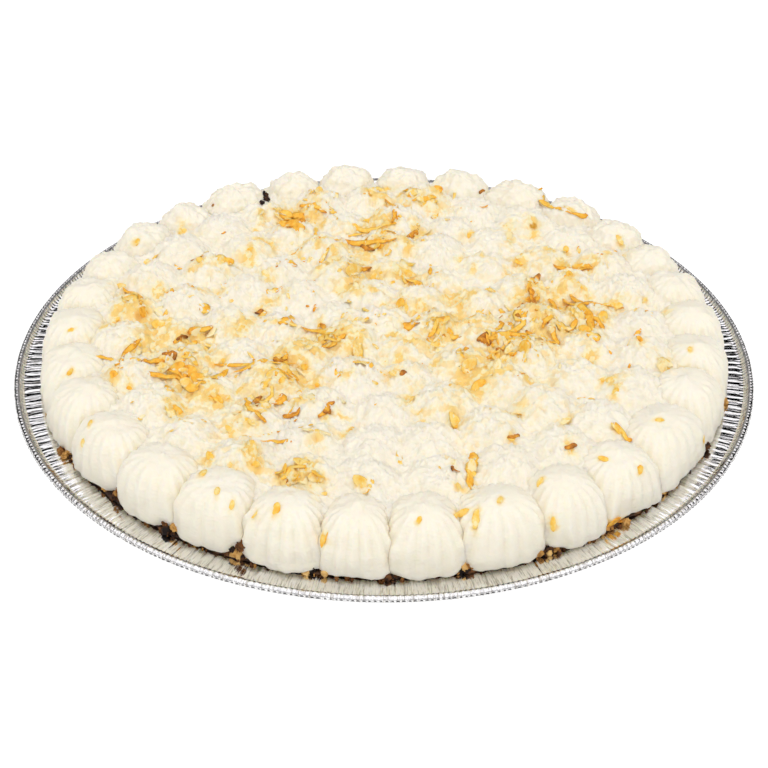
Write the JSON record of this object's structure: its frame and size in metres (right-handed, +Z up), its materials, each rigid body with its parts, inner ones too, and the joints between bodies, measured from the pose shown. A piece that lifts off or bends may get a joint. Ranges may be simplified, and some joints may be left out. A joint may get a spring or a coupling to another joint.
{
  "type": "coconut cream pie",
  "caption": "Whole coconut cream pie in its round foil tin, covered with piped rosettes of whipped cream and strips of toasted coconut.",
  "frame": {"origin": "centre of the tin's flat underside, on the surface that the pie stands on", "axes": "+Z up through the middle of the pie, -Y towards its front"},
  "size_m": [0.244, 0.244, 0.0458],
  "materials": {
    "foil": "bright rolled foil",
    "crust": "baked crumb",
    "cream": "soft whipped cream"
  },
  "bodies": {
    "root": {"foil_tin": "foil", "crust": "crust", "whipped_cream": "cream"}
  },
  "joints": []
}
